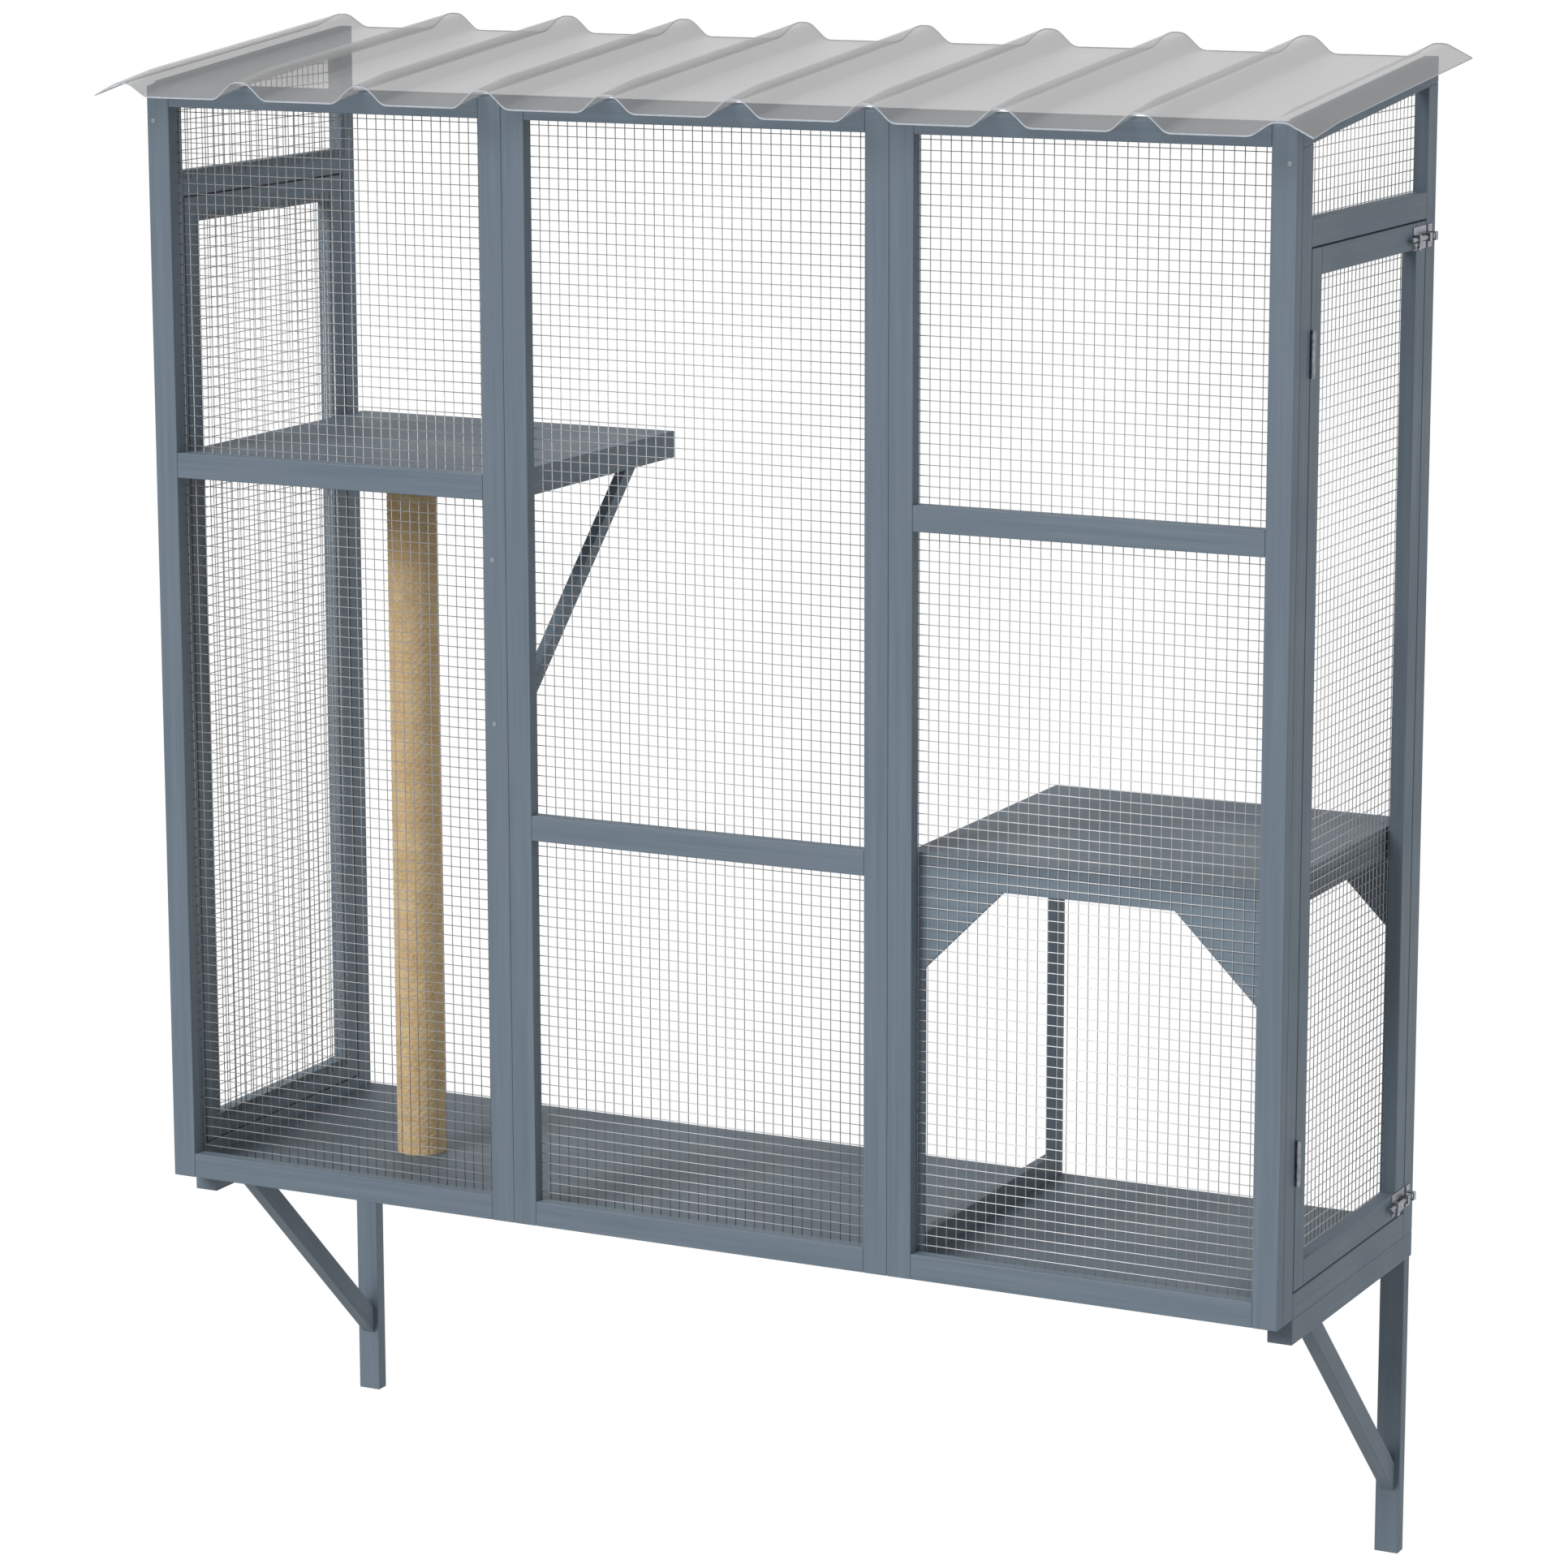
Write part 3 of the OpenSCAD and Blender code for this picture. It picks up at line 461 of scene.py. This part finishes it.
def mesh_sheet(node, name, body, normal, outer, phase, pitch, level=wire, upright=wire, slope=0.0):
    """Welded mesh in place of a CAD sheet. normal is the axis it faces, outer the side of it that looks out
    of the cage, phase the places of one upright and one level wire, level and upright the finishes of the
    wires, slope how steeply the upper edge rises towards the house wall."""
    lo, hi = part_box(node)
    flat = 1 - normal
    front, back = (lo[normal], hi[normal]) if outer < 0 else (hi[normal], lo[normal])
    inward = 1 if outer < 0 else -1
    level_at = front + inward * WIRE_R
    upright_at = back - inward * WIRE_R
    verts, faces = [], []

    def head(t):
        return hi.z - (hi[flat] - t) * slope

    def point(t, z, depth):
        p = [0.0, 0.0, z]
        p[flat] = t
        p[normal] = depth
        return Vector(p)

    for t in steps(lo[flat] + WIRE_MARGIN, hi[flat] - WIRE_MARGIN, pitch[0], phase[0]):
        rod(verts, faces, point(t, lo.z, upright_at), point(t, head(t), upright_at))
    uprights = len(faces)
    for z in steps(lo.z + WIRE_MARGIN, hi.z - WIRE_MARGIN, pitch[1], phase[1]):
        a, b = lo[flat], hi[flat]
        if z > head(a):
            a = under_edge(head, z, a, b)
        if b - a > SHORTEST_WIRE:
            rod(verts, faces, point(a, z, level_at), point(b, z, level_at))
    o = piece(name, verts, faces, upright, body)
    second_finish(o, level, [int(k >= uprights) for k in range(len(faces))])
    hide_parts(node)


for p in PANELS:
    phase = (FRONT_PHASES[p], LEVEL_PHASE)
    mesh_sheet(p + "_panel_net", p + "_panel_mesh", "frame", 1, -1, phase, FRONT_PITCH,
               level_wires_painted_light[p], upright_wires[p])
for s, outer in (("left", -1), ("right", 1)):
    phase = (SIDE_PHASE, LEVEL_PHASE)
    mesh_sheet(s + "_door_net", s + "_door_mesh", s + "_door", 0, outer, phase, SIDE_PITCH)
    mesh_sheet(s + "_transom_net", s + "_transom_mesh", "frame", 0, outer, phase, SIDE_PITCH,
               slope=SIDE_SLOPE)

# ---------------------------------------------------------------- roof sheet

CREST_H, EDGE_CREST_H = 0.021, 0.016
HALF, EDGE_REACH, SHOULDER = 0.033, 0.040, 0.013
FOOT_CUT, SHOULDER_CUT = 0.007, 0.009
ARC_POINTS = 6
SWELL, SWELL_REACH = 0.0025, 0.017
MAIN, LIP = (math.tan(math.radians(a)) for a in (5.8, 9.2))
SEAT_GAP = 0.0002
RIM = 0.0012
LIP_ROWS, MAIN_ROWS = 3, 9
SHARP_OVER = math.radians(50)


def rounded(points, cuts):
    """The points with each corner cut by its own distance and rounded."""
    out = [points[0]]
    for i in range(1, len(points) - 1):
        p, q, r = (Vector(points[i + k]) for k in (-1, 0, 1))
        a = q + (p - q).normalized() * cuts[i]
        b = q + (r - q).normalized() * cuts[i]
        for k in range(ARC_POINTS):
            t = k / (ARC_POINTS - 1)
            out.append(tuple((1 - t) ** 2 * a + 2 * t * (1 - t) * q + t * t * b))
    out.append(points[-1])
    return out


def sheet_line():
    """The sheet's underside across: places and heights, each crest with round shoulders and a swelling
    top."""
    middle = (CRESTS - 1) / 2
    corners, cuts = [], []
    for i in range(CRESTS):
        x = SHIFT_X + (i - middle) * PITCH_X
        h = (EDGE_CREST_H if i in (0, CRESTS - 1) else CREST_H) - SWELL
        left = EDGE_REACH if i == 0 else HALF
        right = EDGE_REACH if i == CRESTS - 1 else HALF
        corners += [(x - left, 0.0), (x - SHOULDER, h), (x + SHOULDER, h), (x + right, 0.0)]
        cuts += [FOOT_CUT, SHOULDER_CUT, SHOULDER_CUT, FOOT_CUT]
    line = []
    for x, h in rounded(corners, cuts):
        near = (x - SHIFT_X) / PITCH_X + middle
        off = abs(near - round(near)) * PITCH_X
        line.append((x, h + SWELL * max(0.0, 1 - (off / SWELL_REACH) ** 2)))
    return line


def roof():
    """The corrugated sheet: one slope over the enclosure and a steeper lip in front of it."""
    lo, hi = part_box("roof_sheet")
    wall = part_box("middle_panel_stiles")[1]
    bend_y, bend_z = wall.y, wall.z + SEAT_GAP
    ys = [lo.y, lo.y + RIM] + [lo.y + (bend_y - lo.y) * k / LIP_ROWS for k in range(1, LIP_ROWS)]
    ys += [bend_y + (hi.y - bend_y) * k / MAIN_ROWS for k in range(MAIN_ROWS)] + [hi.y - RIM, hi.y]
    line = sheet_line()
    count, rows = len(line), len(ys) - 1
    verts, faces, edge = [], [], []
    for lift in (0.0, SHEET_T):
        for y in ys:
            z = bend_z + (y - bend_y) * (LIP if y < bend_y else MAIN)
            verts += [(x, y, z + h + lift) for x, h in line]
    top = count * (rows + 1)

    def face(quad, is_edge):
        faces.append(quad)
        edge.append(int(is_edge))

    for j in range(rows):
        for i in range(count - 1):
            a = j * count + i
            face((a, a + count, a + count + 1, a + 1), False)
            face((top + a, top + a + 1, top + a + count + 1, top + a + count), j in (0, rows - 1))
    for i in range(count - 1):
        face((i, i + 1, top + i + 1, top + i), True)
        b = rows * count + i
        face((b + 1, b, top + b, top + b + 1), True)
    for j in range(rows):
        a = j * count
        face((a + count, a, top + a, top + a + count), True)
        b = a + count - 1
        face((b, b + count, top + b + count, top + b), True)
    o = piece("roof_corrugated_sheet", verts, faces, smoky(), "frame")
    second_finish(o, cut_edge_highlight(), edge)
    o.data.set_sharp_from_angle(angle=SHARP_OVER)
    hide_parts("roof_sheet")


roof()

# ---------------------------------------------------------------- scratching post

STRANDS, POINTS_PER_STRAND = 36, 4
ROW_H, POINTS_PER_ROW = 0.0052, 3
WEAVE_IN, WEAVE_OVER, WEAVE_RIB = 0.0011, 0.0007, 0.0004


def post():
    """The post in its woven wrap: strands go over and under each other row by row."""
    lo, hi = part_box("sisal_post")
    cx, cy = 0.5 * (lo.x + hi.x), 0.5 * (lo.y + hi.y)
    radius = 0.5 * (hi.x - lo.x)
    around = STRANDS * POINTS_PER_STRAND
    rows = int(round((hi.z - lo.z) / ROW_H)) * POINTS_PER_ROW
    verts, faces = [], []
    for j in range(rows + 1):
        z = lo.z + (hi.z - lo.z) * j / rows
        v = j / POINTS_PER_ROW
        for i in range(around):
            u = i / POINTS_PER_STRAND
            over = 0.5 + 0.5 * math.cos(math.pi * u) * math.cos(math.pi * v)
            rib = 0.5 + 0.5 * math.cos(2 * math.pi * v)
            r = radius - WEAVE_IN + WEAVE_OVER * over + WEAVE_RIB * rib
            a = 2 * math.pi * i / around
            verts.append((cx + r * math.cos(a), cy + r * math.sin(a), z))
    for j in range(rows):
        for i in range(around):
            n = (i + 1) % around
            faces.append((j * around + i, j * around + n, (j + 1) * around + n, (j + 1) * around + i))
    faces.append(tuple(reversed(range(around))))
    faces.append(tuple(rows * around + i for i in range(around)))
    o = piece("post_sisal_wrap", verts, faces, woven(), "frame")
    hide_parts("sisal_post")


post()

# ---------------------------------------------------------------- screws

DOME = [(1.0, 0.0), (0.98, 0.45), (0.86, 0.8), (0.66, 0.98), (0.5, 1.0)]
CROSS_RIM, CROSS_FLOOR = (0.16, 0.3, 0.95), (0.12, 0.24, 0.3)
ARM_SHARPNESS = 6
HEAD_POINTS = 24


def screw_head(name, at, out, r, h):
    """A low domed head with a cross cut in it, standing on at and looking along out."""
    u = out.orthogonal().normalized()
    w = out.cross(u)
    verts, faces, starts = [], [], []

    def ring(reach, arm, height):
        """A ring of points; with an arm it bulges four times, as a cross."""
        starts.append(len(verts))
        for k in range(HEAD_POINTS):
            t = 2 * math.pi * k / HEAD_POINTS
            far = reach + arm * abs(math.cos(2 * t)) ** ARM_SHARPNESS
            verts.append(at + r * far * (math.cos(t) * u + math.sin(t) * w) + h * height * out)

    for reach, height in DOME:
        ring(reach, 0.0, height)
    ring(*CROSS_RIM)
    ring(*CROSS_FLOOR)
    for a, b in zip(starts, starts[1:]):
        for k in range(HEAD_POINTS):
            n = (k + 1) % HEAD_POINTS
            faces.append((a + k, a + n, b + n, b + k))
    faces.append(tuple(starts[-1] + k for k in range(HEAD_POINTS)))
    faces.append(tuple(reversed(range(HEAD_POINTS))))
    o = piece(name, verts, faces, painted_steel, "frame")
    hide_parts("front_screws")


def front_screws():
    """One head for each of the CAD screws, on the faces that look to the front."""
    heads = sorted(solids_of("front_screws"), key=lambda g: (g[0].x, g[0].z))
    for i, (lo, hi) in enumerate(heads):
        at = Vector((0.5 * (lo.x + hi.x), hi.y, 0.5 * (lo.z + hi.z)))
        screw_head(f"front_screw_head_{i + 1}", at, Vector((0, -1, 0)), 0.5 * (hi.x - lo.x), hi.y - lo.y)


front_screws()

# ---------------------------------------------------------------- floor, light

FLOOR_HALF, FLOOR_Z = 150.0, -3.0
FLOOR_GREY, FLOOR_SPECK = 195, 1
WHITE = 1.002
WORLD = 0.28
KEY, FILL = (-24.0, 34.0, 2.12), (100.0, 30.0, 0.45)
SUN_ANGLE = 30.0


def seen(tree):
    """1 on rays of the camera, of reflections and of sight through a sheet, and 0 on the others."""
    path = tree.nodes.new("ShaderNodeLightPath")
    out = path.outputs["Is Camera Ray"]
    for ray in ("Is Glossy Ray", "Is Transmission Ray"):
        most = tree.nodes.new("ShaderNodeMath")
        most.operation = "MAXIMUM"
        tree.links.new(out, most.inputs[0])
        tree.links.new(path.outputs[ray], most.inputs[1])
        out = most.outputs[0]
    return out


def studio_floor():
    """A pale floor that keeps the object's shadow and is lifted to plain white where it is seen."""
    s, z = FLOOR_HALF, FLOOR_Z
    mesh = bpy.data.meshes.new("studio_floor")
    mesh.from_pydata([(-s, -s, z), (s, -s, z), (s, s, z), (-s, s, z)], [], [(0, 1, 2, 3)])
    o = bpy.data.objects.new("studio_floor", mesh)
    link(o)
    m = Mat("studio_floor_white")
    speck = m.noise(m.place(3.0, 3.0, 3.0), 1.0, 2.0, 0.5)
    base = m.ramp(speck, (0.3, grey(FLOOR_GREY - FLOOR_SPECK)), (0.7, grey(FLOOR_GREY + FLOOR_SPECK)))
    m.set(Base_Color=base, Roughness=0.9, Specular_IOR_Level=0.0)
    lit = WORLD + sum(e * math.sin(math.radians(h)) for _, h, e in (KEY, FILL)) / math.pi
    lift = WHITE - grey(FLOOR_GREY)[0] * lit
    strength = m.math("MULTIPLY", seen(m.tree), lift)
    glow = m.add("ShaderNodeEmission", {"Color": (1, 1, 1, 1), "Strength": strength})
    both = m.add("ShaderNodeAddShader", {0: m.bsdf.outputs[0], 1: glow.outputs[0]})
    m.put(m.tree.nodes["Material Output"].inputs["Surface"], both.outputs[0])
    mesh.materials.append(m.mat)


def studio_world():
    """Plain white where it is seen, and a lower level of light on the object."""
    world = bpy.data.worlds.new("studio")
    bpy.context.scene.world = world
    world.use_nodes = True
    tree = world.node_tree
    back = tree.nodes["Background"]
    back.inputs["Color"].default_value = (1, 1, 1, 1)
    level = tree.nodes.new("ShaderNodeMapRange")
    tree.links.new(seen(tree), level.inputs[0])
    level.inputs[3].default_value = WORLD
    level.inputs[4].default_value = 1.0
    tree.links.new(level.outputs[0], back.inputs["Strength"])


def sun(name, azimuth, height, strength):
    """A soft sun. azimuth 0 stands in front of the object, positive to its right; height is over the
    horizon."""
    lamp = bpy.data.lights.new(name, "SUN")
    lamp.energy = strength
    lamp.angle = math.radians(SUN_ANGLE)
    o = bpy.data.objects.new(name, lamp)
    a, e = math.radians(azimuth), math.radians(height)
    source = Vector((math.sin(a) * math.cos(e), -math.cos(a) * math.cos(e), math.sin(e)))
    o.rotation_mode = "QUATERNION"
    o.rotation_quaternion = source.to_track_quat("Z", "Y")
    link(o)


studio_floor()
studio_world()
sun("key", *KEY)
sun("fill", *FILL)
bpy.context.scene.view_settings.view_transform = "Standard"
